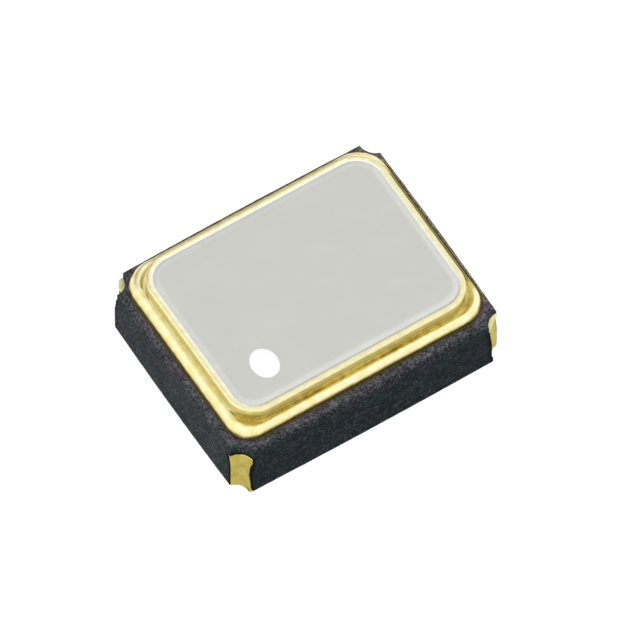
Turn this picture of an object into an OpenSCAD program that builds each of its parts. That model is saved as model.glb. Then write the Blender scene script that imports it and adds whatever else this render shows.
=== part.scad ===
// Crystal oscillator in a small ceramic surface-mount package, 2.5 x 2.0 mm.
// Origin: centre of the solder side, on the plane the pads rest on. +X along the long side, +Z up.

/* [Ceramic base] */
// Length of the base along X
base_l = 2.5; // [2.5:0.05:2.7]
// Width of the base along Y
base_w = 2.0; // [2:0.05:2.2]
// Height of the ceramic, without the pads
base_t = 0.61; // [0.58:0.01:0.7]
// Thickness of the floor layer
floor_t = 0.15; // [0.12:0.01:0.18]
// Height of the layer that holds the die
die_layer_t = 0.24; // [0.22:0.01:0.28]
// Thickness of the top layer, which has no metal in its corner notches
top_layer_t = 0.12; // [0.08:0.01:0.15]
// Radius of the corner notches in the top layer
top_notch_r = 0.14; // [0.13:0.005:0.15]

/* [Cavities] */
// Length of the upper cavity, which holds the crystal
crystal_cavity_l = 1.9; // [1.85:0.01:1.92]
// Width of the upper cavity
crystal_cavity_w = 1.36; // [1.3:0.01:1.38]
// Length of the lower cavity, which holds the die
die_cavity_l = 1.38; // [1.3:0.01:1.42]
// Width of the lower cavity
die_cavity_w = 1.1; // [1:0.01:1.2]
// Corner radius of both cavities
cavity_r = 0.08; // [0.04:0.01:0.1]

/* [Terminals] */
// Length of a solder pad along X
pad_l = 0.7; // [0.6:0.01:0.8]
// Width of a solder pad along Y
pad_w = 0.6; // [0.5:0.01:0.65]
// Thickness of a solder pad
pad_t = 0.02; // [0.015:0.005:0.03]
// Gap from a pad to the edge of the base
pad_inset = 0.03; // [0.02:0.005:0.05]
// Side of the cut corner that marks pad 1
pad_index = 0.15; // [0.1:0.01:0.2]
// Inner radius of the metal that lines a notch
sleeve_r = 0.115; // [0.1:0.005:0.12]
// Thickness of the metal that lines a notch
sleeve_t = 0.015; // [0.01:0.005:0.02]
// Width of the bare ceramic between the lining and a side face
sleeve_inset = 0.012; // [0.005:0.001:0.02]

/* [Seal ring] */
// Length of the ring along X
ring_l = 2.39; // [2.35:0.01:2.4]
// Width of the ring along Y
ring_w = 1.86; // [1.84:0.01:1.87]
// Outer corner radius of the ring
ring_r = 0.22; // [0.21:0.005:0.25]
// How far the ring sits off the middle of the base along X
ring_x = 0.01; // [0:0.005:0.03]
// How far the ring sits off the middle of the base along Y
ring_y = 0.02; // [0:0.005:0.03]
// Height of the ring's rounded crest
crest_t = 0.095; // [0.085:0.005:0.1]
// Distance of the crest from the ring's outer face
crest_w = 0.058; // [0.05:0.002:0.07]
// Height of the upright part of the ring's outer face
face_t = 0.005; // [0.003:0.001:0.01]
// Depth of the groove between the crest and the lid
groove_d = 0.025; // [0.015:0.005:0.03]
// Width of the slope from the crest down to the groove
groove_w = 0.055; // [0.05:0.001:0.06]
// Height of the ring under the lid
ring_t = 0.135; // [0.13:0.005:0.145]
// Thickness of the braze under the ring
braze_t = 0.015; // [0.01:0.005:0.02]
// How far the braze runs out past the ring
braze_foot = 0.012; // [0.008:0.001:0.015]

/* [Lid] */
// Length of the lid along X
lid_l = 2.22; // [2.18:0.01:2.22]
// Width of the lid along Y
lid_w = 1.67; // [1.63:0.01:1.67]
// Outer corner radius of the lid
lid_r = 0.25; // [0.24:0.005:0.27]
// How far the lid sits off the middle of the base along X
lid_x = 0.01; // [0:0.005:0.015]
// How far the lid sits off the middle of the base along Y
lid_y = 0.005; // [0:0.005:0.01]
// Thickness of the lid
lid_t = 0.1; // [0.09:0.005:0.12]
// Radius of the lid's upper edge
lid_round = 0.018; // [0.01:0.001:0.025]
// Width of the welded rim, from the lid's edge to the crease
weld_w = 0.056; // [0.05:0.001:0.06]
// Height of the rim over the lid's flat middle
weld_rise = 0.002; // [0.001:0.001:0.003]
// Depth of the crease
crease_d = 0.006; // [0.003:0.001:0.008]
// Width of the slope from the crease up to the flat middle
slope_w = 0.06; // [0.04:0.005:0.07]

/* [Crystal] */
// Length of the quartz blank
blank_l = 1.5; // [1.4:0.01:1.55]
// Width of the quartz blank
blank_w = 1.0; // [0.9:0.01:1.05]
// Thickness of the quartz blank
blank_t = 0.065; // [0.05:0.005:0.08]
// Gap from the blank's held end to the cavity wall
blank_gap = 0.1; // [0.08:0.01:0.14]
// Thickness of an electrode film
film_t = 0.006; // [0.004:0.001:0.01]
// Length of an electrode
electrode_l = 0.9; // [0.7:0.01:0.95]
// Width of an electrode
electrode_w = 0.68; // [0.5:0.01:0.75]
// Side of the square ledge pads and adhesive dots' places
mount_pad_w = 0.26; // [0.2:0.01:0.28]
// Thickness of the ledge pads
mount_pad_t = 0.015; // [0.01:0.005:0.02]
// Distance of the ledge pads from the middle line
mount_y = 0.34; // [0.3:0.01:0.36]
// Radius of an adhesive dot
glue_r = 0.1; // [0.08:0.005:0.12]
// Height of an adhesive dot below the blank
glue_t = 0.03; // [0.02:0.005:0.04]

/* [Die] */
// Length of the die
die_l = 1.1; // [1:0.01:1.2]
// Width of the die
die_w = 0.8; // [0.7:0.01:0.9]
// Thickness of the die
die_t = 0.13; // [0.1:0.005:0.14]
// Radius of a bump
bump_r = 0.035; // [0.025:0.005:0.04]
// Height of a bump
bump_t = 0.03; // [0.02:0.005:0.04]
// Side of a land on the cavity floor
land_w = 0.14; // [0.1:0.01:0.16]
// Thickness of a land
land_t = 0.015; // [0.01:0.005:0.02]

/* [Hidden] */
BUMP_COLS = 3;
BUMPS = 2 * BUMP_COLS;

$fn = 64;
// Overrun of a cut past the face it opens
CUT = 0.1;
// Steps along each curve of the ring's and the lid's sections
STEPS = 6;
// How far the step under the lid stands back from the ring's opening
STEP_BACK = 0.01;

// Heights, upwards from the plane the pads rest on
base_top = pad_t + base_t;
floor_top = pad_t + floor_t;
ledge_top = floor_top + die_layer_t;
sleeve_top = base_top - top_layer_t;
ring_bottom = base_top + braze_t;
lid_bottom = ring_bottom + ring_t;
blank_bottom = ledge_top + mount_pad_t + glue_t + film_t;
bump_bottom = floor_top + land_t;
die_bottom = bump_bottom + bump_t;

// The metal fills the lower notch down to the sleeve's inner radius
low_notch_r = sleeve_r + sleeve_t;
ring_section = ring_r - 0.02;
ring_open_l = ring_l - 2 * ring_section;
ring_open_w = ring_w - 2 * ring_section;

// The die's cavity is set towards +X, so that the ledge at -X can carry the blank
die_cavity_x = (crystal_cavity_l - die_cavity_l) / 2 - 0.1;
blank_x0 = -crystal_cavity_l / 2 + blank_gap;
blank_x = blank_x0 + blank_l / 2;
mount_x = blank_x0 + 0.1;
bump_dx = (die_l - 0.26) / (BUMP_COLS - 1);
bump_dy = die_w - 0.2;
electrode_x = blank_x + 0.12;

// The holes for the notches are punched a little off their corners, layer by layer: how much
// wider each top notch is, and how far each lining sits outwards along Y, terminals 1 to 4
TOP_NOTCH_ADD = [-0.005, 0, -0.01, 0.01];
LINING_Y = [-0.035, 0.035, 0, 0];
// Signs of X and Y at terminals 1 to 4, counter-clockwise from the marked one, seen from above
TERMINAL_AT = [[-1, -1], [1, -1], [1, 1], [-1, 1]];

CERAMIC = [0.17, 0.18, 0.2];
GOLD = [0.86, 0.75, 0.42];
NICKEL = [0.8, 0.81, 0.78];
BRAZE = [0.45, 0.38, 0.2];
GLUE = [0.62, 0.62, 0.6];
QUARTZ = [0.82, 0.88, 0.92];
SILICON = [0.3, 0.32, 0.38];

// A rectangle with round corners, centred
module rounded_rect(l, w, r) {
    square([l - 2 * r, w], center = true);
    square([l, w - 2 * r], center = true);
    for (x = [-1, 1], y = [-1, 1])
        translate([x * (l / 2 - r), y * (w / 2 - r)]) circle(r);
}

// Its children's section, swept round a rectangle with round corners: X is measured outwards
// from the middle of the corner's curve, so the outer edge is at X = r, and Y becomes height
module swept_rim(l, w, r) {
    for (side = [0:1]) {
        rotate(180 * side) {
            translate([l / 2 - r, 0, 0])
                rotate([90, 0, 0]) linear_extrude(w - 2 * r, center = true) children();
            rotate(90) translate([w / 2 - r, 0, 0])
                rotate([90, 0, 0]) linear_extrude(l - 2 * r, center = true) children();
            translate([l / 2 - r, w / 2 - r, 0]) rotate_extrude(angle = 90) children();
            translate([r - l / 2, w / 2 - r, 0])
                rotate(90) rotate_extrude(angle = 90) children();
        }
    }
}

// Places its children at the corner of the base that holds terminal i, with that corner at the
// origin and the base reaching along -X and -Y
module at_terminal(i) {
    at = TERMINAL_AT[i - 1];
    translate([at[0] * base_l / 2, at[1] * base_w / 2, 0])
        mirror([at[0] < 0 ? 1 : 0, 0, 0]) mirror([0, at[1] < 0 ? 1 : 0, 0]) children();
}

// The part of the base that a lining may fill, clear of the two side faces
module lining_room(t) {
    translate([-base_l / 2, -base_w / 2, -CUT])
        cube([base_l / 2 - sleeve_inset, base_w / 2 - sleeve_inset, t + CUT]);
}

// Upright cylinder about the axis of lining i, from below the base up to height t
module lining_cylinder(i, r, t) {
    translate([0, LINING_Y[i - 1], -CUT]) cylinder(h = t + CUT, r = r);
}

// Co-fired body: floor, die cavity, crystal cavity and a notch down each corner
module ceramic_base() {
    color(CERAMIC) difference() {
        translate([-base_l / 2, -base_w / 2, pad_t]) cube([base_l, base_w, base_t]);
        translate([0, 0, ledge_top]) linear_extrude(base_t)
            rounded_rect(crystal_cavity_l, crystal_cavity_w, cavity_r);
        translate([die_cavity_x, 0, floor_top]) linear_extrude(base_t)
            rounded_rect(die_cavity_l, die_cavity_w, cavity_r);
        for (i = [1:4]) {
            at_terminal(i) {
                lining_cylinder(i, sleeve_r, sleeve_top);
                intersection() {
                    lining_cylinder(i, low_notch_r, sleeve_top);
                    lining_room(sleeve_top);
                }
                translate([0, 0, sleeve_top])
                    cylinder(h = base_t, r = top_notch_r + TOP_NOTCH_ADD[i - 1]);
            }
        }
    }
}

// Outline of a pad at its corner; the marked one has a cut inner corner
module pad_outline(marked) {
    cut = marked ? pad_index : 0;
    far_x = -pad_inset - pad_l;
    far_y = -pad_inset - pad_w;
    polygon([
        [-pad_inset, -pad_inset], [-pad_inset, far_y], [far_x + cut, far_y],
        [far_x, far_y + cut], [far_x, -pad_inset]
    ]);
}

// Solder pad and the notch lining that ends under the top layer
module terminal(i) {
    color(GOLD) at_terminal(i) difference() {
        union() {
            linear_extrude(pad_t) pad_outline(i == 1);
            intersection() {
                translate([0, LINING_Y[i - 1], 0]) cylinder(h = sleeve_top, r = low_notch_r);
                lining_room(sleeve_top);
            }
        }
        lining_cylinder(i, sleeve_r, sleeve_top + CUT);
    }
}

// Braze under the ring, with a small sloping foot outside it
module ring_braze() {
    inner = ring_r - ring_section;
    color(BRAZE) translate([ring_x, ring_y, base_top]) swept_rim(ring_l, ring_w, ring_r)
        polygon([[inner, 0], [ring_r + braze_foot, 0], [ring_r, braze_t], [inner, braze_t]]);
}

// Section of the ring: an upright face, a round crest and the slope down into the groove
module ring_profile() {
    inner = ring_r - ring_section;
    crest_x = ring_r - crest_w;
    crest = [for (k = [0:STEPS]) let (u = k / STEPS) [
        ring_r - crest_w * u, face_t + (crest_t - face_t) * (1 - pow(1 - u, 3))
    ]];
    polygon(concat(
        [[inner, 0], [ring_r, 0]], crest,
        [[crest_x - groove_w, crest_t - groove_d], [inner, crest_t - groove_d]]
    ));
}

// Ring with a round crest, a groove inside it and the step that carries the lid
module seal_ring() {
    color(GOLD) translate([0, 0, ring_bottom]) {
        translate([ring_x, ring_y, 0]) swept_rim(ring_l, ring_w, ring_r) ring_profile();
        linear_extrude(ring_t) difference() {
            translate([lid_x, lid_y]) rounded_rect(lid_l, lid_w, lid_r);
            translate([ring_x, ring_y])
                square([ring_open_l + 2 * STEP_BACK, ring_open_w + 2 * STEP_BACK], center = true);
        }
    }
}

// Section of the lid's border: a round upper edge, the welded rim, the crease and the slope
module lid_profile() {
    rim_t = lid_t + weld_rise;
    crease_x = lid_r - weld_w;
    edge = [for (k = [0:STEPS]) let (a = 90 * k / STEPS) [
        lid_r - lid_round * (1 - cos(a)), rim_t - lid_round * (1 - sin(a))
    ]];
    polygon(concat(
        [[0, 0], [lid_r, 0]], edge,
        [[crease_x + weld_w / 4, rim_t], [crease_x, lid_t - crease_d]],
        [[crease_x - slope_w, lid_t], [0, lid_t]]
    ));
}

// Flat lid, seam-welded round its border
module lid() {
    color(NICKEL) translate([lid_x, lid_y, lid_bottom]) {
        swept_rim(lid_l, lid_w, lid_r) lid_profile();
        linear_extrude(lid_t)
            square([lid_l - 2 * lid_r, lid_w - 2 * lid_r], center = true);
    }
}

module quartz_blank() {
    color(QUARTZ) translate([blank_x0, -blank_w / 2, blank_bottom])
        cube([blank_l, blank_w, blank_t]);
}

// Electrode film on one face of the blank, with a tab to the held end on one side
module electrode_film(side) {
    linear_extrude(film_t) {
        translate([electrode_x, 0]) square([electrode_l, electrode_w], center = true);
        translate([blank_x0, side * mount_y - mount_pad_w / 2])
            square([electrode_x - blank_x0, mount_pad_w]);
    }
}

// Top electrode: its tab turns down over the blank's end and on to its underside
module top_electrode() {
    color(GOLD) {
        translate([0, 0, blank_bottom + blank_t]) electrode_film(1);
        translate([blank_x0 - film_t, mount_y - mount_pad_w / 2, blank_bottom - film_t])
            cube([film_t, mount_pad_w, blank_t + 2 * film_t]);
        translate([blank_x0 - film_t, mount_y - mount_pad_w / 2, blank_bottom - film_t])
            cube([mount_pad_w, mount_pad_w, film_t]);
    }
}

module bottom_electrode() {
    color(GOLD) translate([0, 0, blank_bottom - film_t]) electrode_film(-1);
}

// Conductive adhesive between a ledge pad and the film above it
module adhesive_dot(side) {
    color(GLUE) translate([mount_x, side * mount_y, ledge_top + mount_pad_t])
        cylinder(h = glue_t, r = glue_r);
}

module mount_pad(side) {
    color(GOLD)
        translate([mount_x - mount_pad_w / 2, side * mount_y - mount_pad_w / 2, ledge_top])
        cube([mount_pad_w, mount_pad_w, mount_pad_t]);
}

module oscillator_die() {
    color(SILICON) translate([die_cavity_x - die_l / 2, -die_w / 2, die_bottom])
        cube([die_l, die_w, die_t]);
}

// Middle of bump and land i: two rows of BUMP_COLS
function bump_at(i) = [
    die_cavity_x + ((i - 1) % BUMP_COLS - (BUMP_COLS - 1) / 2) * bump_dx,
    (i > BUMP_COLS ? 1 : -1) * bump_dy / 2
];

module die_bump(i) {
    color(GOLD) translate([bump_at(i)[0], bump_at(i)[1], bump_bottom])
        cylinder(h = bump_t, r = bump_r);
}

module die_land(i) {
    color(GOLD)
        translate([bump_at(i)[0] - land_w / 2, bump_at(i)[1] - land_w / 2, floor_top])
        cube([land_w, land_w, land_t]);
}

ceramic_base();
for (i = [1:4])
    terminal(i);
ring_braze();
seal_ring();
lid();
quartz_blank();
top_electrode();
bottom_electrode();
for (i = [1:2]) {
    side = i == 1 ? 1 : -1;
    adhesive_dot(side);
    mount_pad(side);
}
oscillator_die();
for (i = [1:BUMPS]) {
    die_bump(i);
    die_land(i);
}
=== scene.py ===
"""Crystal oscillator: surfaces, finish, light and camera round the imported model."""
import math

import bmesh
import bpy
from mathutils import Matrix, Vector, noise


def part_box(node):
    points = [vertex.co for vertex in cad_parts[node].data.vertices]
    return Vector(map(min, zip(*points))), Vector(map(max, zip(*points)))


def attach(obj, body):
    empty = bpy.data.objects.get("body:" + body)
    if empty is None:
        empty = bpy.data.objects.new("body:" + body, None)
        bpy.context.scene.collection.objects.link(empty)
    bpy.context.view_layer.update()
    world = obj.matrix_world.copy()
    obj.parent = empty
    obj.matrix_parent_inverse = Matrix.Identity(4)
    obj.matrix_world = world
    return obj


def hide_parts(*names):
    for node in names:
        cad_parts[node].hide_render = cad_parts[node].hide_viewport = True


MM = 0.001

# Form of what shows, in millimetres; overall sizes come from the frame

# Base: radii of its upper and lower edges, how much its sides swell outwards, and its skin
BASE_EDGE_R = 0.045
BASE_FOOT_R = 0.022
BASE_BOW = 0.009
BASE_ROUGH = 0.002
BASE_GRAIN = 0.03
# Notches and linings, terminals 1 to 4: radii of the top notch and of the lining's two
# faces, and how far the middles of notch and lining sit outwards along X and Y from the corner
TOP_NOTCH_R = (0.135, 0.14, 0.147, 0.15)
TOP_NOTCH_X = (0.0, 0.0, 0.044, 0.0)
TOP_NOTCH_Y = (0.0, 0.035, -0.004, 0.0)
SLEEVE_R = 0.115
LINING_Y = (-0.035, 0.035, 0.0, 0.0)
SLEEVE_OUTER_R = (0.13, 0.13, 0.13, 0.14)
# How far the lining's rim stands into the notch, how thick it is there and how round
RIM_REACH = (0.0, 0.0, 0.0, 0.025)
RIM_T = 0.03
RIM_LIP_R = 0.008
# Share of that reach that the rim loses by the X face; over 1, it ends behind the lining's face
RIM_TAPER = 1.2
# How far the rim's end at the Y face stands out past the rest of the lining's end
RIM_BURR = (0.0, 0.0, 0.0, 0.018)
# Height at which the linings start, just inside the pads that close them below
LINING_FOOT = 0.018
# At terminal 2 the plating runs up into the top notch, and the lowest layer's hole is
# punched further in: the plating's height, the layer's height and its hole's radius and place,
# which the cut corner of every pad follows too
PLATED_TOP = (0.0, 0.572, 0.0, 0.0)
LOW_LAYER_TOP = (0.0, 0.1, 0.0, 0.0)
STEP_H = 0.002
LOW_NOTCH_R = 0.105
LOW_NOTCH_Y = -0.05
LOW_LINING_T = 0.008
PLATING_T = 0.006
PLATING_INSET = 0.001
SLEEVE_INSET = 0.012
LINING_ROUGH = 0.0015
LINING_GRAIN = 0.05
# How much the linings widen at their top, and over which stretch of their height, in shares
LINING_FLARE = 0.02
FLARE_FROM = 0.6
FLARE_STRETCH = 0.32
# How far the ceramic laps over each lining at its Y and X faces, and how much more half way up
LIP_REACH = ((0.0, 0.0), (0.012, -0.02), (0.012, 0.012), (0.012, 0.002))
LIP_MIDDLE = ((0.03, 0.004), (0.014, 0.0), (0.01, 0.01), (0.006, 0.01))
# How much more it laps over them near their foot, at the Y face, and up to which share
LIP_FOOT = (-0.012, 0.0, 0.0, 0.0)
LIP_FOOT_TOP = 0.45
LIP_FOOT_FADE = 0.15
# How thick the lip is over the lining, how ragged its edge is, and over what width it thins out
LIP_T = 0.004
LIP_RAGGED = 0.008
LIP_RAGGED_GRAIN = 0.06
LIP_FADE = 0.01
# Painted shade on the ceramic in the notches beside the linings: its reach up the wall and its
# colour
NOTCH_SHADE_H = 0.042
NOTCH_SHADE = (0.13, 0.09, 0.045)
# Painted reflection of the ring's gold on the ceramic's top beside it at +X: what it multiplies
# the colour by, and how strong it is at +Y, where it is weaker
GOLD_REFLECTION = (3.3, 2.95, 1.7, 1.0)
GOLD_REFLECTION_NORTH = 0.4
# How much of the top's tone the edges of the short sides take, as a painted highlight
END_EDGE_HIGHLIGHT = 0.6
# Pads and cavities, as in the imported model
PAD_T = 0.02
PAD_L = 0.7
PAD_W = 0.6
PAD_INSET = 0.03
PAD_INDEX = 0.15
FLOOR_T = 0.15
DIE_LAYER_T = 0.24
CRYSTAL_CAVITY = (1.9, 1.36)
DIE_CAVITY = (1.38, 1.1)
DIE_CAVITY_X = 0.16
CAVITY_R = 0.08
# Corner radius of the rows across the top face
TOP_ROW_R = 0.2
# Braze: how far it reaches out from the ring's foot, how much more at +X, how much larger its
# corner radii are than the ring's, and its thickness
BRAZE_FOOT = 0.008
BRAZE_EAST = 0.014
BRAZE_TRIM = 0.018
BRAZE_T = 0.015
BRAZE_ROUGH = 0.001
# Ring: corner radii from +X +Y to the left, distances in from its outer face, heights over the
# ceramic; at -X its crest lies further in
RING_R = (0.28, 0.245, 0.22, 0.245)
RING_SECTION = 0.2
FACE_H = 0.02
CREST_W = 0.058
CREST_WEST = 0.028
CREST_H = 0.11
GROOVE_W = 0.055
GROOVE_D = 0.018
SEAM_H = 0.15
STEP_UNDER_LID = 0.1
RING_ROUGH = 0.0022
SWEPT_GRAIN = 0.05
# Width of the stain and painted shade in the groove, outside its wall, at terminals 1 to 4
STAIN_AND_SHADE_W = (0.09, 0.09, 0.03, 0.03)
# Share of the half length and half width over which that width changes
STAIN_AND_SHADE_SPREAD = 0.7
# Darkening, from none at 0 to the darkest at 1: stain and painted shade on the wall inside the
# groove, and painted shade on the ring's outer side along +X, +Y and -X; and the share of the
# outer side that the darker foot takes
SIDE_STAIN_AND_SHADE = 0.25
WEST_STAIN_AND_SHADE = 0.24
CORNER_STAIN_AND_SHADE = (0.6, 0.5, 0.35, 0.12)
EAST_SHADE = 0.86
NORTH_SHADE = 0.46
WEST_SHOULDER_SHADE = 0.13
FOOT_DARK_SHARE = 0.15
# How much rougher the darkest stain makes the gold
STAIN_DULLS = 0.25
# Lid: corner radii from +X +Y to the left, distances in from its edge, heights under its
# highest line
LID_R = (0.29, 0.265, 0.25, 0.265)
LID_ROUND = 0.018
WELD_W = 0.056
CREASE_D = 0.005
FLAT_D = 0.002
SLOPE_W = 0.06
LID_ROUGH = 0.0007
# Stain on the lid's edge, from its foot to its top, and the share of the weld's stain that is
# missing at the two -X corners, leaving a painted highlight there
LID_EDGE_STAIN = (0.58, 0.48)
WEST_HIGHLIGHT = 0.65
# Printed dot: its middle, its sizes along X and Y, its thickness, and how uneven its edge is
DOT_AT = (-0.672, -0.46)
DOT_SIZE = (0.23, 0.282)
DOT_T = 0.0015
DOT_WOBBLE = 0.012

# Points on each quarter curve and along each straight side of an outline, up a notch, over the
# ring's shoulder, across its groove and round the dot
CORNER_STEPS = 24
SIDE_STEPS = 48
HEIGHT_STEPS = 24
SHOULDER_STEPS = 12
GROOVE_STEPS = 10
DOT_STEPS = 72

# noise_vector is seeded from the clock unless it is given a seed
noise.seed_set(1)
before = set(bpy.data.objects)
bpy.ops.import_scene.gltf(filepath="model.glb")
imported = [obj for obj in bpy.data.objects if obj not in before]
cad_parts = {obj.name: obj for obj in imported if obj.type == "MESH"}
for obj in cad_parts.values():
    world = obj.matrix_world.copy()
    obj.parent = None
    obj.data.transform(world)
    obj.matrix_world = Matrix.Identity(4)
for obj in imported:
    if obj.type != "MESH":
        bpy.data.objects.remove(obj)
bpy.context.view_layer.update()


def box_mm(node):
    low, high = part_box(node)
    return low / MM, high / MM


base_low, base_high = box_mm("ceramic_base")
ring_low, ring_high = box_mm("seal_ring")
lid_low, lid_high = box_mm("lid")
BASE_HALF = (base_high.x, base_high.y)
BASE_BOTTOM, BASE_TOP = base_low.z, base_high.z
# Outlines: half length, half width, corner radii, and where the middle is
RING = (*((ring_high - ring_low) / 2).xy, RING_R, *((ring_high + ring_low) / 2).xy)
LID = (*((lid_high - lid_low) / 2).xy, LID_R, *((lid_high + lid_low) / 2).xy)
RIM_TOP = lid_high.z
LID_TOP = RIM_TOP - FLAT_D
SLEEVE_TOP = box_mm("terminal_1")[1].z


# ---------------------------------------------------------------- outlines


def smoothstep(t):
    t = min(max(t, 0), 1)
    return t * t * (3 - 2 * t)


def beyond(value, start, stretch):
    """0 up to start, and from there smoothly up to 1 over the stretch."""
    return smoothstep((value - start) / stretch)


def within(value, end, stretch):
    """0 from end onwards, and 1 at the stretch or more before it."""
    return smoothstep((end - value) / stretch)


def quarter(centre, radius, start, sweep, z):
    """Points of a curve of sweep degrees from start, its first and last points included."""
    points = []
    for i in range(CORNER_STEPS + 1):
        a = math.radians(start + sweep * i / CORNER_STEPS)
        points.append(Vector((centre[0] + radius * math.cos(a),
                              centre[1] + radius * math.sin(a), z)))
    return points


def joined(curves, bow=0.0):
    """One closed outline: the four corner curves, with evenly spaced points between them.

    With a bow, each side swells outwards by that much in its middle.
    """
    outline = []
    for i, curve in enumerate(curves):
        first, last = curve[-1], curves[(i + 1) % len(curves)][0]
        along = (last - first).normalized()
        out = Vector((along.y, -along.x, 0)) * bow
        outline += curve
        outline += [first.lerp(last, s / SIDE_STEPS) + out * math.sin(math.pi * s / SIDE_STEPS)
                    for s in range(1, SIDE_STEPS)]
    return outline


def rounded_loop(half, radii, z, at=(0, 0)):
    """Outline of a rectangle with round corners, one radius for each from +X +Y to the left."""
    curves = []
    for radius, start, sx, sy in zip(radii, (0, 90, 180, 270), (1, -1, -1, 1), (1, 1, -1, -1)):
        centre = (at[0] + sx * (half[0] - radius), at[1] + sy * (half[1] - radius))
        curves.append(quarter(centre, radius, start, 90, z))
    return joined(curves)


def notch_span(radius, inset, shift, across=0.0):
    """Angles where a notch's circle meets lines inset from the side faces, corner at 0, 0."""
    return (180 + math.degrees(math.asin((inset + shift) / radius)),
            270 - math.degrees(math.asin((inset + across) / radius)))


def notched_loop(inset, z, radii, shifts, acrosses=(0, 0, 0, 0), lip=False):
    """Outline of the base, drawn in by inset; a lip of ceramic may close over the linings.

    radii are those of the notches, and shifts and acrosses say how far outwards from the
    corners their middles lie along Y and X, one of each for terminals 1 to 4.
    """
    curves = []
    wider = flare(z) if lip else 0
    for number, sx, sy in ((3, 1, 1), (4, -1, 1), (1, -1, -1), (2, 1, -1)):
        nominal, shift = radii[number - 1] + inset, shifts[number - 1]
        across = acrosses[number - 1]
        if lip and z < LOW_LAYER_TOP[number - 1]:
            nominal, shift = LOW_NOTCH_R, LOW_NOTCH_Y
        start, end = notch_span(nominal + wider, inset, shift, across)
        curve = []
        for i in range(CORNER_STEPS + 1):
            a = math.radians(start + (end - start) * i / CORNER_STEPS)
            radius = nominal + wider * ear(i)
            if lip:
                radius += lip_change(number, i, (end - start) / CORNER_STEPS, z)
            x = min(across + radius * math.cos(a), -inset)
            y = min(shift + radius * math.sin(a), -inset)
            if i == 0:
                y = -inset
            if i == CORNER_STEPS:
                x = -inset
            curve.append(Vector((sx * (BASE_HALF[0] + x), sy * (BASE_HALF[1] + y), z)))
        curves.append(curve[::-1] if sx * sy > 0 else curve)
    return joined(curves, BASE_BOW)


def ear(i):
    """Share of the flare at point i of a notch: all at the two side faces, none half way."""
    return (2 * i / CORNER_STEPS - 1) ** 2


def flare(z):
    return LINING_FLARE * beyond(z / SLEEVE_TOP, FLARE_FROM, FLARE_STRETCH)


def lip_change(number, i, step, z):
    """How much nearer the notch's axis the ceramic comes at point i, most at the two ends."""
    if z < LOW_LAYER_TOP[number - 1]:
        return 0
    arc = SLEEVE_R * math.radians(step)
    side = 0 if i < CORNER_STEPS / 2 else 1
    from_end = arc * (i if side == 0 else CORNER_STEPS - i)
    up = (z - BASE_BOTTOM) / (SLEEVE_TOP - BASE_BOTTOM)
    ragged = noise.noise(Vector((z / LIP_RAGGED_GRAIN, number * 7.0, side * 3.0)))
    reach = LIP_REACH[number - 1][side] + LIP_RAGGED * ragged
    reach += LIP_MIDDLE[number - 1][side] * math.sin(math.pi * up)
    if side == 0:
        reach += LIP_FOOT[number - 1] * within(up, LIP_FOOT_TOP, LIP_FOOT_FADE)
    share = min(max((reach - from_end) / LIP_FADE + 0.5, 0), 1)
    return share * (SLEEVE_R - LIP_T - SLEEVE_OUTER_R[number - 1])


# ---------------------------------------------------------------- meshes


def add_object(name, data):
    made = bpy.data.objects.new(name, data)
    bpy.context.scene.collection.objects.link(made)
    return made


def add_piece(name, mesh_data, material, node, crease=35):
    """Makes an object in metres from a bmesh in millimetres and puts it in place of its node."""
    bmesh.ops.recalc_face_normals(mesh_data, faces=mesh_data.faces)
    bmesh.ops.scale(mesh_data, vec=(MM, MM, MM), verts=mesh_data.verts)
    mesh = bpy.data.meshes.new(name)
    mesh_data.to_mesh(mesh)
    mesh_data.free()
    mesh.polygons.foreach_set("use_smooth", [True] * len(mesh.polygons))
    mesh.set_sharp_from_angle(angle=math.radians(crease))
    piece = add_object(name, mesh)
    mesh.materials.append(material)
    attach(piece, "root")
    if node:
        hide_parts(node)
    return piece


def add_loft(mesh_data, loops, capped=True, closed=False):
    """Skins outlines that have equal counts of points; capped fills both ends."""
    rows = [[mesh_data.verts.new(p) for p in loop] for loop in loops]
    pairs = list(zip(rows, rows[1:]))
    if closed:
        pairs.append((rows[-1], rows[0]))
    for low, high in pairs:
        for i in range(len(low)):
            j = (i + 1) % len(low)
            mesh_data.faces.new((low[i], low[j], high[j], high[i]))
    if capped:
        mesh_data.faces.new(rows[0])
        mesh_data.faces.new(rows[-1])
    return rows


def roughen(mesh_data, amount, grain):
    """Moves each point a little, as no real face is quite flat."""
    for v in mesh_data.verts:
        v.co += amount * noise.noise_vector(v.co / grain)


# ---------------------------------------------------------------- materials


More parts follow.
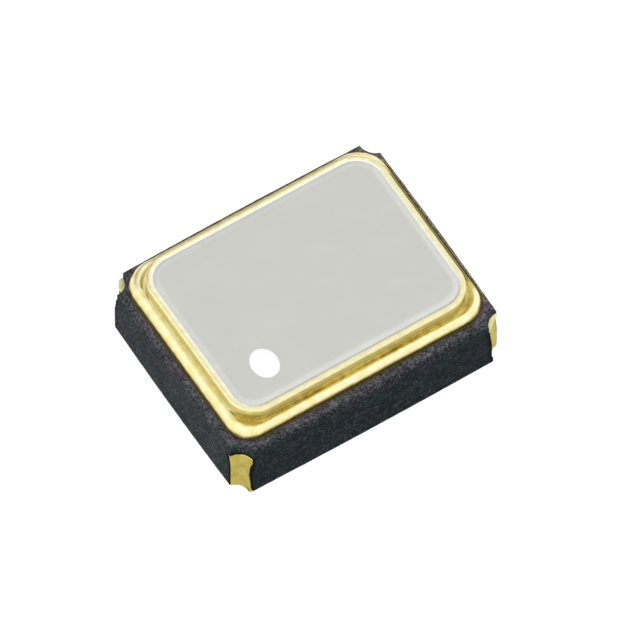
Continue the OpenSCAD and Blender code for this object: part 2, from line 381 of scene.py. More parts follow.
class Finish:
    """A material with one Principled shader and short calls for the nodes that feed it."""

    def __init__(self, name, metallic, roughness):
        self.material = bpy.data.materials.new(name)
        self.material.use_nodes = True
        self.tree = self.material.node_tree
        self.shader = self.tree.nodes["Principled BSDF"]
        self.shader.inputs["Metallic"].default_value = metallic
        self.shader.inputs["Roughness"].default_value = roughness
        self.coords = self.tree.nodes.new("ShaderNodeTexCoord").outputs["Object"]

    def node(self, kind, **settings):
        made = self.tree.nodes.new(kind)
        for key, value in settings.items():
            setattr(made, key, value)
        return made

    def link(self, source, target):
        self.tree.links.new(source, target)

    def noise(self, grain_mm, detail=3.0):
        """Noise whose lumps are about grain_mm across."""
        texture = self.node("ShaderNodeTexNoise")
        texture.inputs["Scale"].default_value = 1 / (grain_mm * MM)
        texture.inputs["Detail"].default_value = detail
        self.link(self.coords, texture.inputs["Vector"])
        return texture.outputs["Fac"]

    def ramp(self, factor, *stops):
        """Colours at positions along factor."""
        ramp = self.node("ShaderNodeValToRGB")
        elements = ramp.color_ramp.elements
        while len(elements) < len(stops):
            elements.new(0.5)
        for element, (at, colour) in zip(elements, stops):
            element.position = at
            element.color = (*colour, 1)
        self.link(factor, ramp.inputs["Fac"])
        return ramp.outputs["Color"]

    def spread(self, factor, low, high, start=0.3, end=0.7):
        """factor, from start to end, as a number from low to high; noise keeps to 0.3 to 0.7."""
        spread = self.node("ShaderNodeMapRange")
        spread.inputs["From Min"].default_value = start
        spread.inputs["From Max"].default_value = end
        spread.inputs["To Min"].default_value = low
        spread.inputs["To Max"].default_value = high
        self.link(factor, spread.inputs["Value"])
        return spread.outputs["Result"]

    def rising(self, low_mm, high_mm, most=1.0):
        """None below one height, and up to most at and above another."""
        height = self.parts(self.coords)["Z"]
        return self.spread(height, 0.0, most, low_mm * MM, high_mm * MM)

    def maths(self, operation, *values, use_clamp=False):
        """A maths node fed by sockets and numbers."""
        made = self.node("ShaderNodeMath", operation=operation, use_clamp=use_clamp)
        for value, socket in zip(values, made.inputs):
            if isinstance(value, float):
                socket.default_value = value
            else:
                self.link(value, socket)
        return made.outputs[0]

    def mark(self, name):
        """A value from 0 to 1 that the mesh's points carry."""
        return self.node("ShaderNodeAttribute", attribute_name=name).outputs["Fac"]

    def mixed(self, factor, first, second, blend="MIX"):
        mix = self.node("ShaderNodeMix", data_type="RGBA", blend_type=blend)
        if isinstance(factor, float):
            mix.inputs["Factor"].default_value = factor
        else:
            self.link(factor, mix.inputs["Factor"])
        for colour, socket in ((first, mix.inputs[6]), (second, mix.inputs[7])):
            if isinstance(colour, tuple):
                socket.default_value = colour
            else:
                self.link(colour, socket)
        return mix.outputs[2]

    def bump(self, height, depth_mm, below=None):
        bump = self.node("ShaderNodeBump")
        bump.inputs["Distance"].default_value = depth_mm * MM
        self.link(height, bump.inputs["Height"])
        if below:
            self.link(below, bump.inputs["Normal"])
        return bump.outputs["Normal"]

    def parts(self, vector):
        """The X, Y and Z of a vector."""
        split = self.node("ShaderNodeSeparateXYZ")
        self.link(vector, split.inputs["Vector"])
        return split.outputs

    def set(self, socket, source):
        self.link(source, self.shader.inputs[socket])


def ceramic_finish():
    """Black alumina with painted light: darker long sides, paler ends and a paler, warmer top
    face.
    """
    f = Finish("black_ceramic", 0.0, 0.6)
    f.shader.inputs["Specular IOR Level"].default_value = 0.02
    grains = f.noise(0.02, 5.0)
    clouds = f.noise(0.1, 3.0)
    # Painted light: the long sides darkest, the ends paler as if lit from the side, the top
    # palest as if lit from above
    shaded_long_side = f.ramp(grains, (0.36, (0.004, 0.008, 0.009)), (0.5, (0.014, 0.020, 0.022)),
                       (0.66, (0.044, 0.050, 0.053)))
    end = f.ramp(grains, (0.36, (0.006, 0.012, 0.012)), (0.5, (0.024, 0.030, 0.031)),
                 (0.66, (0.085, 0.085, 0.088)))
    top = f.ramp(grains, (0.36, (0.034, 0.031, 0.032)), (0.5, (0.082, 0.076, 0.080)),
                 (0.66, (0.149, 0.139, 0.147)))
    normal = f.parts(f.node("ShaderNodeNewGeometry").outputs["Normal"])
    across = f.maths("ABSOLUTE", normal["X"])
    side = f.mixed(f.ramp(across, (0.3, (0, 0, 0)), (0.9, (1, 1, 1))), shaded_long_side, end)
    # Painted highlight: the top's tone comes in up the wall, round the upper edge and most along
    # the ends' edges
    top_light_up_wall = f.rising(BASE_TOP - 0.12, BASE_TOP + 0.01, 0.16)
    top_light_by_facing = f.ramp(normal["Z"], (0.2, (0, 0, 0)), (0.7, (0.15, 0.15, 0.15)),
                    (0.92, (0.3, 0.3, 0.3)), (1.0, (0.9, 0.9, 0.9)))
    end_edge_highlight = f.maths("MULTIPLY", across, normal["Z"], use_clamp=True)
    raised = f.maths("MULTIPLY_ADD", end_edge_highlight, END_EDGE_HIGHLIGHT, top_light_up_wall)
    body = f.mixed(f.maths("ADD", top_light_by_facing, raised, use_clamp=True), side, top)
    shade = f.ramp(clouds, (0.3, (0.68, 0.70, 0.70)), (0.7, (1.32, 1.30, 1.30)))
    tint = f.ramp(f.noise(0.16, 2.0), (0.3, (0.80, 1.02, 0.94)), (0.7, (1.16, 0.98, 1.19)))
    body = f.mixed(1.0, f.mixed(1.0, body, shade, "MULTIPLY"), tint, "MULTIPLY")
    # Painted shade in the notches beside and above the linings
    notch_shade = f.ramp(f.mark("stain_and_painted_light"), (0.0, (1, 1, 1)), (1.0, NOTCH_SHADE))
    body = f.mixed(1.0, body, notch_shade, "MULTIPLY")
    # Painted reflection of the ring's gold, lightening the ceramic beside it at +X
    filmed = f.mixed(1.0, body, GOLD_REFLECTION, "MULTIPLY")
    f.set("Base Color", f.mixed(f.mark("film"), body, filmed))
    f.set("Roughness", f.spread(grains, 0.48, 0.72))
    coarse = f.bump(f.noise(0.05, 3.0), 0.006)
    f.set("Normal", f.bump(grains, 0.0035, below=coarse))
    return f.material


def gold_finish(name, light, deep, roughness, grain, stained_and_shaded=False, rim=None):
    """Gold plating; stain and painted shade from 0 to 1 turn it olive and then brown, and
    duller.

    With a rim colour, it takes that colour from the top of the linings upwards, a painted
    highlight.
    """
    f = Finish(name, 1.0, roughness)
    clouds = f.noise(0.07, 3.0)
    grains = f.noise(grain, 3.0)
    colour = f.ramp(clouds, (0.35, deep), (0.65, light))
    matt = f.spread(grains, roughness - 0.06, roughness + 0.08)
    if rim:
        colour = f.mixed(f.rising(SLEEVE_TOP - 0.02, SLEEVE_TOP - 0.002), colour, rim)
    if stained_and_shaded:
        stain_and_painted_light = f.mark("stain_and_painted_light")
        tones = f.ramp(stain_and_painted_light, (0.2, (0.74, 0.65, 0.27)), (0.6, (0.55, 0.47, 0.18)),
                       (1.0, (0.09, 0.065, 0.015)))
        patches = f.ramp(f.noise(0.05, 3.0), (0.35, (0.82, 0.76, 0.66)),
                         (0.65, (1.12, 1.12, 1.08)))
        tones = f.mixed(1.0, tones, patches, "MULTIPLY")
        amount = f.ramp(stain_and_painted_light, (0.0, (0, 0, 0)), (0.3, (1, 1, 1)))
        colour = f.mixed(amount, colour, tones)
        matt = f.maths("MULTIPLY_ADD", stain_and_painted_light, STAIN_DULLS, matt)
    f.set("Base Color", colour)
    f.set("Roughness", matt)
    f.set("Normal", f.bump(grains, 0.0012))
    return f.material


def nickel_finish():
    """Nickel; low marks paint a near-white highlight, higher ones the weld's pale gold and
    olive.
    """
    f = Finish("nickel_plating", 1.0, 0.34)
    clouds = f.noise(0.3, 2.0)
    grains = f.noise(0.02, 3.0)
    plain = f.ramp(clouds, (0.35, (0.642, 0.647, 0.605)), (0.65, (0.662, 0.667, 0.625)))
    stain_and_painted_light = f.mark("stain_and_painted_light")
    # The lowest marks paint a near-white highlight; higher ones the weld's pale gold, then olive
    edge = f.ramp(stain_and_painted_light, (0.06, (0.97, 0.97, 0.93)), (0.16, (0.96, 0.94, 0.75)),
                  (0.35, (0.97, 0.93, 0.60)), (0.6, (0.85, 0.76, 0.36)),
                  (0.9, (0.6, 0.5, 0.18)))
    patches = f.ramp(f.noise(0.05, 3.0), (0.35, (0.91, 0.91, 0.91)),
                     (0.65, (1.02, 1.02, 1.02)))
    edge = f.mixed(1.0, edge, patches, "MULTIPLY")
    amount = f.ramp(stain_and_painted_light, (0.0, (0, 0, 0)), (0.12, (1, 1, 1)))
    f.set("Base Color", f.mixed(amount, plain, edge))
    f.set("Roughness", f.spread(grains, 0.3, 0.38))
    f.set("Normal", f.bump(grains, 0.0005))
    return f.material


def braze_finish():
    f = Finish("braze", 0.8, 0.6)
    grains = f.noise(0.015, 3.0)
    f.set("Base Color", f.ramp(grains, (0.35, (0.042, 0.033, 0.016)),
                               (0.65, (0.125, 0.096, 0.046))))
    f.set("Normal", f.bump(grains, 0.002))
    return f.material


def ink_finish():
    f = Finish("white_ink", 0.0, 0.55)
    grains = f.noise(0.01, 3.0)
    f.set("Base Color", f.ramp(grains, (0.3, (0.93, 0.93, 0.92)), (0.6, (0.97, 0.97, 0.97))))
    f.set("Normal", f.bump(grains, 0.0006))
    return f.material


def quartz_finish():
    f = Finish("quartz", 0.0, 0.08)
    f.shader.inputs["Transmission Weight"].default_value = 0.85
    f.shader.inputs["IOR"].default_value = 1.54
    clouds = f.noise(0.2, 2.0)
    f.set("Base Color", f.ramp(clouds, (0.3, (0.82, 0.87, 0.9)), (0.7, (0.9, 0.93, 0.95))))
    f.set("Roughness", f.spread(f.noise(0.01), 0.05, 0.12))
    return f.material


def adhesive_finish():
    f = Finish("silver_adhesive", 0.55, 0.6)
    flakes = f.noise(0.008, 4.0)
    f.set("Base Color", f.ramp(flakes, (0.35, (0.3, 0.3, 0.29)), (0.65, (0.66, 0.65, 0.62))))
    f.set("Normal", f.bump(flakes, 0.002))
    return f.material


def silicon_finish():
    f = Finish("silicon", 0.7, 0.2)
    clouds = f.noise(0.15, 2.0)
    f.set("Base Color", f.ramp(clouds, (0.3, (0.1, 0.11, 0.14)), (0.7, (0.16, 0.17, 0.2))))
    f.set("Roughness", f.spread(f.noise(0.02), 0.15, 0.28))
    return f.material


# ---------------------------------------------------------------- pieces


def film_mark(v):
    """Painted reflection of the ring's gold on the ceramic's upper edge: along +X, and weaker
    along +Y and round the corner.

    Places are shares of the half length and half width.
    """
    x, y = v.co.x / BASE_HALF[0], v.co.y / BASE_HALF[1]
    east = beyond(x, 0.944, 0.02) * within(abs(y), 0.86, 0.14)
    north = beyond(y, 0.6, 0.14) * within(-x, 0.86, 0.14)
    raised = beyond(v.co.z, BASE_TOP - BASE_EDGE_R, 0.03)
    return max(east, GOLD_REFLECTION_NORTH * north) * raised


def make_base(material):
    """Rounded foot, walls with notches, rounded upper edge, and the two cavities inside."""
    floor = BASE_BOTTOM + FLOOR_T
    ledge = floor + DIE_LAYER_T
    loops, notch_shade = [], []
    for i in range(4):
        a = math.radians(30 * i)
        loops.append(notched_loop(BASE_FOOT_R * (1 - math.sin(a)),
                                  BASE_BOTTOM + BASE_FOOT_R * (1 - math.cos(a)),
                                  SLEEVE_OUTER_R, LINING_Y, lip=True))
        notch_shade.append(1.0)
    start = BASE_BOTTOM + BASE_FOOT_R
    heights = [start + (SLEEVE_TOP - start) * i / HEIGHT_STEPS
               for i in range(1, HEIGHT_STEPS + 1)]
    heights += [max(LOW_LAYER_TOP) - STEP_H, max(LOW_LAYER_TOP)]
    for z in sorted(heights):
        loops.append(notched_loop(0, z, SLEEVE_OUTER_R, LINING_Y, lip=True))
        notch_shade.append(1.0)
    top_start = BASE_TOP - BASE_EDGE_R
    for rise, mark in ((0, 1.0), (NOTCH_SHADE_H / 2, 0.9), (NOTCH_SHADE_H, 0.2), (NOTCH_SHADE_H * 1.5, 0.0)):
        loops.append(notched_loop(0, SLEEVE_TOP + rise, TOP_NOTCH_R, TOP_NOTCH_Y, TOP_NOTCH_X))
        notch_shade.append(mark)
    for i in range(6):
        a = math.radians(90 * i / 5)
        inset = BASE_EDGE_R * (1 - math.cos(a))
        loops.append(notched_loop(inset, top_start + BASE_EDGE_R * math.sin(a), TOP_NOTCH_R,
                                  TOP_NOTCH_Y, TOP_NOTCH_X))
    upper = [s / 2 for s in CRYSTAL_CAVITY]
    lower = [s / 2 for s in DIE_CAVITY]
    # Rows across the top face, hidden under the ring
    for i in range(1, 4):
        half = [b + (c - b) * i / 4 for b, c in zip(BASE_HALF, upper)]
        loops.append(rounded_loop(half, (TOP_ROW_R,) * 4, BASE_TOP))
    round_walls = (CAVITY_R,) * 4
    loops.append(rounded_loop(upper, round_walls, BASE_TOP))
    loops.append(rounded_loop(upper, round_walls, ledge))
    loops.append(rounded_loop(lower, round_walls, ledge, (DIE_CAVITY_X, 0)))
    loops.append(rounded_loop(lower, round_walls, floor, (DIE_CAVITY_X, 0)))
    body = bmesh.new()
    stain_and_painted_light = body.verts.layers.float.new("stain_and_painted_light")
    # Painted shade only on the notches' own points, not along the sides
    for row, mark in zip(add_loft(body, loops), notch_shade):
        for i, v in enumerate(row):
            v[stain_and_painted_light] = mark if i % (CORNER_STEPS + SIDE_STEPS) <= CORNER_STEPS else 0
    # Painted reflection of the ring's gold on the ceramic beside it
    film = body.verts.layers.float.new("film")
    for v in body.verts:
        v[film] = film_mark(v)
    roughen(body, BASE_ROUGH, BASE_GRAIN)
    return add_piece("base_body", body, material, "ceramic_base", 50)


def plan(outline, inset, height, along=0.0):
    """An outline drawn in by inset, at a height over the ceramic.

    A positive along draws its -X side in by that much more; a negative one moves +X outwards.
    """
    half_l, half_w, radii, x, y = outline
    half = (half_l - inset - along / 2, half_w - inset)
    return rounded_loop(half, [max(r - inset, 0.001) for r in radii], BASE_TOP + height,
                        (x + abs(along) / 2, y))


def swept(name, rows, material, node, crease=35, capped=False, rough=0.0):
    """A body from rows: a closed loop in mm, and its stain and painted light from 0 to 1, one or
    a list.
    """
    body = bmesh.new()
    stain_and_painted_light = body.verts.layers.float.new("stain_and_painted_light")
    skinned = add_loft(body, [row[0] for row in rows], capped=capped, closed=not capped)
    for verts, (loop, marks) in zip(skinned, rows):
        for i, v in enumerate(verts):
            v[stain_and_painted_light] = marks[i] if isinstance(marks, list) else marks
    if rough:
        roughen(body, rough, SWEPT_GRAIN)
    return add_piece(name, body, material, node, crease)


def make_braze(material):
    """Fillet round the ring's foot, thinner at the corners; it shows as a dark line."""
    rows = [(plan(RING, RING_SECTION, 0), 0)]
    # Share of the fillet's reach, and height over the ceramic
    for share, height in ((1, 0), (1, 0.003), (0.4, 0.007)):
        outline = (*RING[:2], [r + BRAZE_TRIM * share for r in RING_R], *RING[3:])
        rows.append((plan(outline, -BRAZE_FOOT * share, height, -BRAZE_EAST * share), 0))
    rows += [(plan(RING, 0, BRAZE_T), 0), (plan(RING, RING_SECTION, BRAZE_T), 0)]
    return swept("braze_line", rows, material, "ring_braze", rough=BRAZE_ROUGH)


def stain_and_shade_width(p):
    """The groove's stain and painted shade are wider at some corners than at others, and change
    between.
    """
    across = 0.5 + 0.5 * min(max(p.x / (STAIN_AND_SHADE_SPREAD * LID[0]), -1), 1)
    up = 0.5 + 0.5 * min(max(p.y / (STAIN_AND_SHADE_SPREAD * LID[1]), -1), 1)
    low = STAIN_AND_SHADE_W[0] + (STAIN_AND_SHADE_W[1] - STAIN_AND_SHADE_W[0]) * across
    high = STAIN_AND_SHADE_W[3] + (STAIN_AND_SHADE_W[2] - STAIN_AND_SHADE_W[3]) * across
    return low + (high - low) * up


def near_ends(p):
    """How near p is to the lid's short sides and to its long sides, from 0 to 1 each.

    Both are 1 only at a corner, as each begins at a share of the half length or half width.
    """
    return beyond(abs(p.x) / LID[0], 0.86, 0.12), beyond(abs(p.y) / LID[1], 0.82, 0.16)


def west_highlight_corner(p):
    """1 at the two corners of the lid at -X, where its rim carries a painted highlight."""
    ends, sides = near_ends(p)
    return ends * sides if p.x < 0 else 0


def wall_stain_and_shade(p):
    """Stain and painted shade on the wall inside the groove: darker round the corners than the
    sides.
    """
    ends, sides = near_ends(p)
    plain = WEST_STAIN_AND_SHADE if p.x < 0 and ends > sides else SIDE_STAIN_AND_SHADE
    south, north = ((0, 3), (1, 2))[p.x > 0]
    return plain + (CORNER_STAIN_AND_SHADE[north if p.y > 0 else south] - plain) * ends * sides


def groove_row(crest, wall, share):
    """Loop between the ring's crest and the wall inside it, with stain and painted shade near
    the wall.
    """
    loop, marks = [], []
    for p, q in zip(crest, wall):
        gap = (Vector(q.xy) - Vector(p.xy)).length
        down = min(gap * share / GROOVE_W, 1)
        flat = p.lerp(q, share)
        drop = GROOVE_D * (1 - math.cos(math.pi * down)) / 2
        loop.append(Vector((flat.x, flat.y, p.z - drop)))
        from_wall = gap * (1 - share)
        marks.append(wall_stain_and_shade(q) * min(max(1.2 - from_wall / stain_and_shade_width(q), 0), 1))
    return loop, marks


def shoulder_shade(loop, share):
    """Painted shade on the ring's outer side, at +X, +Y and low down at -X; darker along its
    foot.

    share is how far up the outer side the loop lies, from 0 at its foot to 1 at the crest.
    """
    marks = []
    for p in loop:
        x, y = p.x / RING[0], p.y / RING[1]
        east = beyond(x, 0.9, 0.06) * within(abs(y), 0.82, 0.25)
        north = beyond(y, 0.9, 0.06) * within(abs(x), 0.84, 0.2)
        west = beyond(-x, 0.9, 0.06) * (1 - share)
        # The darker foot keeps lower at the corners
        corner = beyond(abs(x), 0.84, 0.1) * beyond(abs(y), 0.8, 0.12)
        foot = 1 - beyond(share / (FOOT_DARK_SHARE * (1 - 0.4 * corner)), 0.4, 1.0)
        marks.append(max(EAST_SHADE * east, NORTH_SHADE * north, WEST_SHOULDER_SHADE * west, foot))
    return marks


def make_ring(material):
    """Steep foot, round crest, the groove inside it and the step under the lid, with stain and
    painted shade.
    """
    rows = [(plan(RING, RING_SECTION, BRAZE_T), 0), (plan(RING, 0, BRAZE_T), 0)]
    for i in range(SHOULDER_STEPS + 1):
        u = i / SHOULDER_STEPS
        height = FACE_H + (CREST_H - FACE_H) * (1 - (1 - u) ** 3)
        loop = plan(RING, CREST_W * u, height, CREST_WEST * u)
        rows.append((loop, shoulder_shade(loop, u)))
    crest, wall = rows[-1][0], plan(LID, 0, CREST_H)
    rows += [groove_row(crest, wall, i / GROOVE_STEPS) for i in range(1, GROOVE_STEPS + 1)]
    foot = rows[-1][0]
    seam = plan(LID, 0, SEAM_H)
    marks = [wall_stain_and_shade(q) for q in seam]
    rows += [([p.lerp(q, i / 3) for p, q in zip(foot, seam)], marks) for i in range(1, 4)]
    rows.append((plan(LID, STEP_UNDER_LID, SEAM_H), 0))
    return swept("ring_body", rows, material, "seal_ring", rough=RING_ROUGH)


def make_lid(material):
    """Stained edge, the welded rim, the crease inside it and the slope up to the flat, with
    painted highlights on rim and slope.
    """
    top = RIM_TOP - BASE_TOP
    rows = [(plan(LID, 0.001, SEAM_H), 1.0), (plan(LID, 0, SEAM_H + 0.004), 1.0)]
    for i in range(7):
        a = math.radians(90 * i / 6)
        rows.append((plan(LID, LID_ROUND * (1 - math.cos(a)),
                          top - LID_ROUND * (1 - math.sin(a))),
                     LID_EDGE_STAIN[0] + (LID_EDGE_STAIN[1] - LID_EDGE_STAIN[0]) * i / 6))
    # The weld: share of the way to the crease, share of its depth, and stain, whose lowest
    # values paint a near-white highlight
    for share, drop, stain_and_painted_light in ((0.25, 0.02, 0.33), (0.6, 0.12, 0.27), (0.8, 0.45, 0.2),
                               (0.92, 0.85, 0.08), (1.0, 1.0, 0.012)):
        loop = plan(LID, LID_ROUND + (WELD_W - LID_ROUND) * share, top - CREASE_D * drop)
        rows.append((loop, [stain_and_painted_light * (1 - WEST_HIGHLIGHT * west_highlight_corner(p)) for p in loop]))
    # The slope: share of the way up to the flat, share of its rise, and the mark, which paints a
    # pale highlight band on it
    for share, rise, stain_and_painted_light in ((0.08, 0.15, 0.015), (0.3, 0.55, 0.03), (0.65, 0.9, 0.03),
                               (1.0, 1.0, 0.0)):
        rows.append((plan(LID, WELD_W + SLOPE_W * share,
                          top - CREASE_D + (CREASE_D - FLAT_D) * rise), stain_and_painted_light))
    for i in range(1, 4):
        rows.append((plan(LID, WELD_W + SLOPE_W + 0.04 * i, top - FLAT_D), 0))
    return swept("lid_plate", rows, material, "lid", 60,
                 capped=True, rough=LID_ROUGH)


def make_terminal(number, sx, sy, material):
    """Pad and notch lining, drawn as at +X +Y with the base's corner at the origin."""
    outer, rim = SLEEVE_OUTER_R[number - 1], SLEEVE_R - RIM_REACH[number - 1]
    plated_top, low_top = PLATED_TOP[number - 1], LOW_LAYER_TOP[number - 1]
    far_x, far_y = -PAD_INSET - PAD_L, -PAD_INSET - PAD_W
    cut = PAD_INDEX if number == 1 else 0

    def arc(radius, inset, z):
        """Points round the notch at a height: plating, lining, or lowest layer and pad."""
        shift, wider = LINING_Y[number - 1], flare(z)
        if z > SLEEVE_TOP:
            shift, wider, inset = TOP_NOTCH_Y[number - 1], 0, PLATING_INSET
        if z < low_top + STEP_H:
            half_t = LOW_LINING_T / 2
            radius, shift = LOW_NOTCH_R + (half_t if radius == outer else -half_t), LOW_NOTCH_Y
        start, end = notch_span(radius + wider, inset, shift)
        if SLEEVE_TOP - RIM_T < z <= SLEEVE_TOP:
            start = notch_span(radius + wider, inset - RIM_BURR[number - 1], shift)[0]
        points = []
        for i in range(CORNER_STEPS + 1):
            a = math.radians(end + (start - end) * i / CORNER_STEPS)
            r = radius + wider * ear(i)
            if radius < SLEEVE_R:
                # The rim tapers off over the half of the arc that ends at the X face
                r += RIM_TAPER * RIM_REACH[number - 1] * smoothstep(2.2 - 4 * i / CORNER_STEPS)
            points.append(Vector((r * math.cos(a), shift + r * math.sin(a), z)))
        return points

    body = bmesh.new()
    # Lining: one section swept round the notch
    heights = [LINING_FOOT + (SLEEVE_TOP - RIM_T - LINING_FOOT) * i / HEIGHT_STEPS
               for i in range(HEIGHT_STEPS + 1)]
    if low_top:
        heights = sorted(heights + [low_top + STEP_H / 2, low_top + STEP_H * 2])
    section = [(SLEEVE_R, z) for z in heights]
    for i in range(5):
        a = math.radians(90 * i / 4)
        section.append((rim + RIM_LIP_R * (1 - math.cos(a)),
                        SLEEVE_TOP - RIM_LIP_R + RIM_LIP_R * math.sin(a)))
    if plated_top:
        wall = TOP_NOTCH_R[number - 1] - PLATING_T
        section += [(wall, SLEEVE_TOP + STEP_H), (wall, plated_top),
                    (wall + PLATING_T, plated_top)]
    section.append((outer, SLEEVE_TOP))
    section += [(outer, z) for z in reversed(heights)]
    rows = [[body.verts.new(p) for p in arc(r, SLEEVE_INSET, z)] for r, z in section]
    for low, high in zip(rows, rows[1:] + rows[:1]):
        for i in range(len(low) - 1):
            body.faces.new((low[i], low[i + 1], high[i + 1], high[i]))
    body.faces.new([row[0] for row in rows])
    body.faces.new([row[-1] for row in rows])
    roughen(body, LINING_ROUGH, LINING_GRAIN)
    # Pad: its corner is cut away along the lowest layer's notch
    outline = [Vector((far_x, -PAD_INSET, 0)), Vector((far_x, far_y + cut, 0))]
    if cut:
        outline.append(Vector((far_x + cut, far_y, 0)))
    outline += [Vector((-PAD_INSET, far_y, 0))] + arc(outer, PAD_INSET, 0)
    low = [body.verts.new(p) for p in outline]
    high = [body.verts.new(p + Vector((0, 0, PAD_T))) for p in outline]
    for i in range(len(low)):
        j = (i + 1) % len(low)
        body.faces.new((low[i], low[j], high[j], high[i]))
    body.faces.new(low)
    body.faces.new(high)
    for v in body.verts:
        v.co = Vector((sx * (BASE_HALF[0] + v.co.x), sy * (BASE_HALF[1] + v.co.y), v.co.z))
    return add_piece(f"lining_{number}", body, material, f"terminal_{number}")


def make_dot(material):
    """Printed dot over terminal 1, with the slightly uneven edge of print."""
    body = bmesh.new()
    loops = []
    # How large each loop is, and its height: sunk a little, up the edge, and the top
    for grow, z in ((1.0, LID_TOP - 0.0005), (1.0, LID_TOP + DOT_T * 0.4),
                    (0.985, LID_TOP + DOT_T)):
        loop = []
        for i in range(DOT_STEPS):
            a = 2 * math.pi * i / DOT_STEPS
            x, y = math.cos(a), math.sin(a)
            size = grow * (1 + DOT_WOBBLE * noise.noise(Vector((2 * x, 2 * y, 0.3)))) / 2
            loop.append(Vector((DOT_AT[0] + size * DOT_SIZE[0] * x,
                                DOT_AT[1] + size * DOT_SIZE[1] * y, z)))
        loops.append(loop)
    add_loft(body, loops)
    return add_piece("pin_one_dot", body, material, None)


def make_pieces():
    """The pieces that show, in place of their nodes; the hidden nodes only get their finish."""
    gold = gold_finish("gold_plating", (0.95, 0.91, 0.61), (0.9, 0.8, 0.37), 0.3, 0.02,
                       stained_and_shaded=True)
    # The linings' gold is painted darker and more olive than the ring's, as shade in the
    # notches, and paler from their top rim up, as a painted highlight
    lining = gold_finish("gold_lining", (0.59, 0.49, 0.115), (0.48, 0.38, 0.065), 0.5, 0.015,
                         rim=(0.76, 0.74, 0.4, 1.0))
    film = gold_finish("gold_film", (0.95, 0.8, 0.42), (0.9, 0.74, 0.36), 0.22, 0.015)
    make_base(ceramic_finish())
    make_braze(braze_finish())
    make_ring(gold)
    make_lid(nickel_finish())
    for number, (sx, sy) in enumerate(((-1, -1), (1, -1), (1, 1), (-1, 1)), 1):
        make_terminal(number, sx, sy, lining)
    make_dot(ink_finish())
    inner = {"quartz_blank": quartz_finish(), "oscillator_die": silicon_finish(),
             "adhesive_dot": adhesive_finish()}
    for name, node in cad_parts.items():
        if node.hide_render:
            continue
        chosen = [m for key, m in inner.items() if name.startswith(key)] or [film]
        node.data.materials.clear()
        node.data.materials.append(chosen[0])


# ---------------------------------------------------------------- floor, light and camera

# Camera: its direction in degrees, the picture's width, its scale, and how far off it stands
AZIMUTH = -32.1
ELEVATION = 59.4
PIXELS = 640
PIXELS_PER_MM = 124.6
DISTANCE = 200.0
# Where the picture's middle falls from the middle of the base's top face
AIM_RIGHT = 0.119
AIM_UP = -0.170
# Floor: half its width, its grey, how much of its own glow it shows, and how bright that is
FLOOR_HALF = 400.0
FLOOR_GREY = 0.6
FLOOR_SHARE = 0.7
FLOOR_GLOW = 1.3
# World: the way its dark part lies, its levels from the opposite way at 0 to that way at 1, and
# its strength
DARK_SIDE = Vector((0.0, 0.9, 0.43)).normalized()
WORLD_LEVELS = ((0.0, 1.0), (0.75, 1.0), (0.82, 0.97), (0.88, 0.86), (0.93, 0.7), (0.975, 0.38))
WORLD_LEVEL = 1.12
# Key softbox: its direction in degrees, how far off it stands, its sides, and its power
KEY_AZIMUTH = -95.0
KEY_ELEVATION = 40.0
KEY_DISTANCE = 60.0
KEY_SIDE = 80.0
KEY_POWER = 0.004


def toward(azimuth, elevation):
    """Direction from the object to a camera or light; azimuth 0 is at -Y."""
    a, e = math.radians(azimuth), math.radians(elevation)
    return Vector((math.sin(a) * math.cos(e), -math.cos(a) * math.cos(e), math.sin(e)))


def add_looking(name, data, aim, back, distance):
    """Places a camera or light at a distance in mm from aim, looking back at it."""
    holder = add_object(name, data)
    holder.location = (aim + back * distance) * MM
    holder.rotation_mode = "QUATERNION"
    holder.rotation_quaternion = back.to_track_quat("Z", "Y")
    return holder


def make_camera():
    """A long lens, as opposite edges are parallel in the photo."""
    back = toward(AZIMUTH, ELEVATION)
    right = Vector((-back.y, back.x, 0)).normalized()
    aim = Vector((0, 0, BASE_TOP)) + right * AIM_RIGHT + back.cross(right) * AIM_UP
    camera = bpy.data.cameras.new("camera")
    camera.sensor_width = 36
    camera.lens = camera.sensor_width * DISTANCE * PIXELS_PER_MM / PIXELS
    camera.clip_start = 0.001
    camera.clip_end = 2
    bpy.context.scene.camera = add_looking("camera", camera, aim, back, DISTANCE)


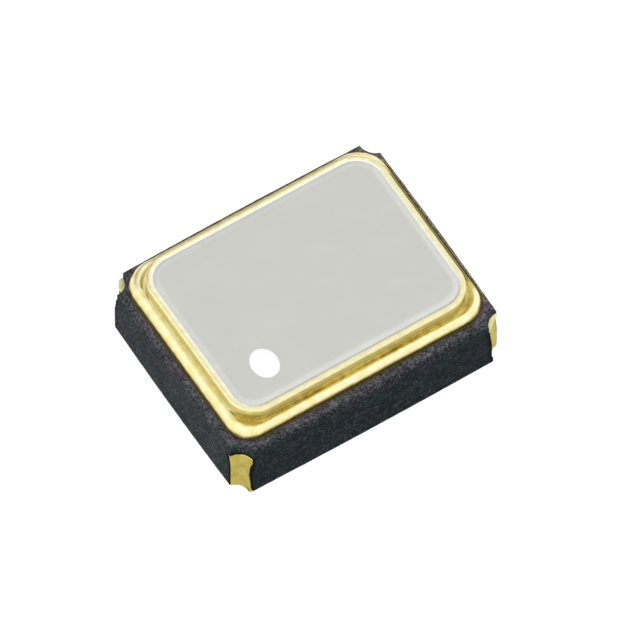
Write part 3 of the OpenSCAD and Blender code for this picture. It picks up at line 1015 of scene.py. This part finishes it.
def make_floor():
    """White floor that still takes the shadow.

    It glows only for the camera and for mirrored or refracted rays, so it lights no matt face.
    """
    size = FLOOR_HALF * MM
    mesh = bpy.data.meshes.new("floor")
    corners = [(-size, -size, 0), (size, -size, 0), (size, size, 0), (-size, size, 0)]
    mesh.from_pydata(corners, [], [(0, 1, 2, 3)])
    floor = add_object("floor", mesh)
    f = Finish("floor", 0.0, 0.9)
    f.shader.inputs["Base Color"].default_value = (*(FLOOR_GREY,) * 3, 1)
    f.shader.inputs["Specular IOR Level"].default_value = 0.0
    glow = f.node("ShaderNodeEmission")
    glow.inputs["Strength"].default_value = FLOOR_GLOW
    path = f.node("ShaderNodeLightPath")
    seen = path.outputs["Is Camera Ray"]
    for ray in ("Is Glossy Ray", "Is Transmission Ray"):
        seen = f.maths("MAXIMUM", seen, path.outputs[ray])
    mix = f.node("ShaderNodeMixShader")
    f.link(f.maths("MULTIPLY", seen, FLOOR_SHARE), mix.inputs["Fac"])
    f.link(f.shader.outputs[0], mix.inputs[1])
    f.link(glow.outputs[0], mix.inputs[2])
    f.link(mix.outputs[0], f.tree.nodes["Material Output"].inputs["Surface"])
    floor.data.materials.append(f.material)


def make_world():
    """Soft bright studio walls with a darker part low down behind the object."""
    world = bpy.data.worlds.new("world")
    bpy.context.scene.world = world
    world.use_nodes = True
    nodes, links = world.node_tree.nodes, world.node_tree.links
    coords = nodes.new("ShaderNodeTexCoord")
    facing = nodes.new("ShaderNodeVectorMath")
    facing.operation = "DOT_PRODUCT"
    facing.inputs[1].default_value = DARK_SIDE
    links.new(coords.outputs["Generated"], facing.inputs[0])
    spread = nodes.new("ShaderNodeMapRange")
    spread.inputs["From Min"].default_value = -1
    links.new(facing.outputs["Value"], spread.inputs["Value"])
    ramp = nodes.new("ShaderNodeValToRGB")
    elements = ramp.color_ramp.elements
    while len(elements) < len(WORLD_LEVELS):
        elements.new(0.5)
    for element, (at, level) in zip(elements, WORLD_LEVELS):
        element.position = at
        element.color = (level, level, level, 1)
    links.new(spread.outputs["Result"], ramp.inputs["Fac"])
    around = nodes["Background"]
    links.new(ramp.outputs["Color"], around.inputs["Color"])
    around.inputs["Strength"].default_value = WORLD_LEVEL


def make_key_light():
    """One large softbox at the left, which the ring's and lid's edges reflect."""
    light = bpy.data.lights.new("key_softbox", "AREA")
    light.shape = "RECTANGLE"
    light.size = light.size_y = KEY_SIDE * MM
    light.energy = KEY_POWER
    add_looking("key_softbox", light, Vector((0, 0, BASE_TOP)),
                toward(KEY_AZIMUTH, KEY_ELEVATION), KEY_DISTANCE)


def main():
    scene = bpy.context.scene
    scene.view_settings.view_transform = "Standard"
    make_pieces()
    make_floor()
    make_world()
    make_key_light()
    make_camera()


main()
